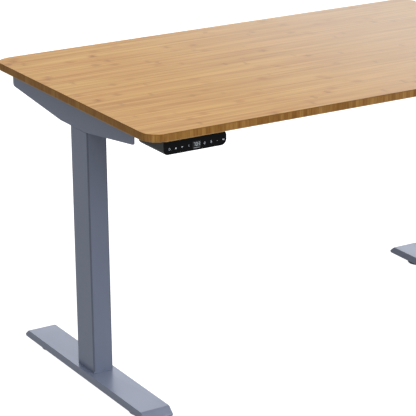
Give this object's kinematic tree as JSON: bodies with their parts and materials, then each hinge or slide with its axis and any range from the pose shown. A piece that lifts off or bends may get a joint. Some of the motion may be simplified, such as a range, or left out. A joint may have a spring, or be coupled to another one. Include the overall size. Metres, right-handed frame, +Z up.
{
  "type": "height adjustable desk",
  "caption": "Height adjustable standing desk: bamboo top on two motorised three-stage telescopic columns with wide feet, levelling glides and a touch keypad.",
  "frame": {"origin": "on the floor under the middle of the desktop", "axes": "+Z up, +X along the desktop's long side towards the sitter's right, -Y towards the sitter"},
  "size_m": [1.2192, 0.762, 0.697],
  "materials": {
    "bamboo": "satin clear lacquer",
    "frame_paint": "fine textured powder coat",
    "steel": "zinc plated",
    "nylon": "moulded",
    "black_plastic": "fine moulded texture",
    "gloss_black": "high gloss",
    "rubber": "matte",
    "circuit": "solder mask",
    "brass": "machined bronze"
  },
  "bodies": {
    "base_left": {"foot_left": "frame_paint", "base_plate_left": "frame_paint", "outer_column_left": "frame_paint", "outer_guide_left": "nylon", "push_tube_left": "steel"},
    "upper": {"desktop": "bamboo", "side_bracket_left": "frame_paint", "head_bracket_left": "frame_paint", "front_rail_left": "frame_paint", "rear_rail_left": "frame_paint", "inner_column_left": "frame_paint", "gearbox_left": "black_plastic", "motor_left": "steel", "lock_screw_front_left": "steel", "lock_screw_rear_left": "steel", "side_bracket_right": "frame_paint", "head_bracket_right": "frame_paint", "front_rail_right": "frame_paint", "rear_rail_right": "frame_paint", "inner_column_right": "frame_paint", "gearbox_right": "black_plastic", "motor_right": "steel", "lock_screw_front_right": "steel", "lock_screw_rear_right": "steel", "front_centre_rail": "steel", "rear_centre_rail": "steel", "control_box_base": "steel", "control_box_cover": "black_plastic", "control_board": "circuit", "socket_block": "black_plastic", "power_inlet": "black_plastic", "keypad_housing": "black_plastic", "keypad_glass": "gloss_black", "keypad_board": "circuit", "motor_lead_left": "black_plastic", "motor_lead_right": "black_plastic", "keypad_lead": "black_plastic", "worm_shaft_left": "steel", "worm_shaft_right": "steel"},
    "middle_left": {"middle_column_left": "frame_paint", "middle_guide_left": "nylon", "hollow_screw_left": "steel"},
    "screw_left": {"lead_screw_left": "steel", "worm_wheel_left": "brass"},
    "middle_right": {"middle_column_right": "frame_paint", "middle_guide_right": "nylon", "hollow_screw_right": "steel"},
    "screw_right": {"lead_screw_right": "steel", "worm_wheel_right": "brass"},
    "base_right": {"foot_right": "frame_paint", "base_plate_right": "frame_paint", "outer_column_right": "frame_paint", "outer_guide_right": "nylon", "push_tube_right": "steel"},
    "glide_front_left": {"glide_front_left": "rubber"},
    "glide_rear_left": {"glide_rear_left": "rubber"},
    "glide_front_right": {"glide_front_right": "rubber"},
    "glide_rear_right": {"glide_rear_right": "rubber"}
  },
  "joints": [
    {"name": "lift", "type": "slide", "parent": "base_left", "child": "upper", "axis": [0, 0, 1], "range_m": [0, 0.58]},
    {"name": "lift_right", "type": "slide", "parent": "upper", "child": "base_right", "axis": [0, 0, -1], "range_m": [0, 0.58]},
    {"name": "middle_stage_left", "type": "slide", "parent": "base_left", "child": "middle_left", "axis": [0, 0, 1], "range_m": [0, 0.29]},
    {"name": "middle_stage_right", "type": "slide", "parent": "upper", "child": "middle_right", "axis": [0, 0, -1], "range_m": [0, 0.29]},
    {"name": "screw_turn_left", "type": "hinge", "parent": "upper", "child": "screw_left", "pos_m": [-0.5555, 0, 0.35], "axis": [0, 0, 1], "range_deg": [0, 20880.5]},
    {"name": "screw_turn_right", "type": "hinge", "parent": "upper", "child": "screw_right", "pos_m": [0.5555, 0, 0.35], "axis": [0, 0, 1], "range_deg": [0, 20880.5]},
    {"name": "level_front_left", "type": "slide", "parent": "base_left", "child": "glide_front_left", "axis": [0, 0, -1], "range_m": [0, 0.008]},
    {"name": "level_rear_left", "type": "slide", "parent": "base_left", "child": "glide_rear_left", "axis": [0, 0, -1], "range_m": [0, 0.008]},
    {"name": "level_front_right", "type": "slide", "parent": "base_right", "child": "glide_front_right", "axis": [0, 0, -1], "range_m": [0, 0.008]},
    {"name": "level_rear_right", "type": "slide", "parent": "base_right", "child": "glide_rear_right", "axis": [0, 0, -1], "range_m": [0, 0.008]}
  ],
  "couplings": [
    {"joint": "lift_right", "follows": "lift", "ratio": 1},
    {"joint": "middle_stage_left", "follows": "lift", "ratio": 0.5},
    {"joint": "middle_stage_right", "follows": "lift", "ratio": 0.5},
    {"joint": "screw_turn_left", "follows": "lift", "rad_per_m": 628.32},
    {"joint": "screw_turn_right", "follows": "lift", "rad_per_m": 628.32}
  ]
}
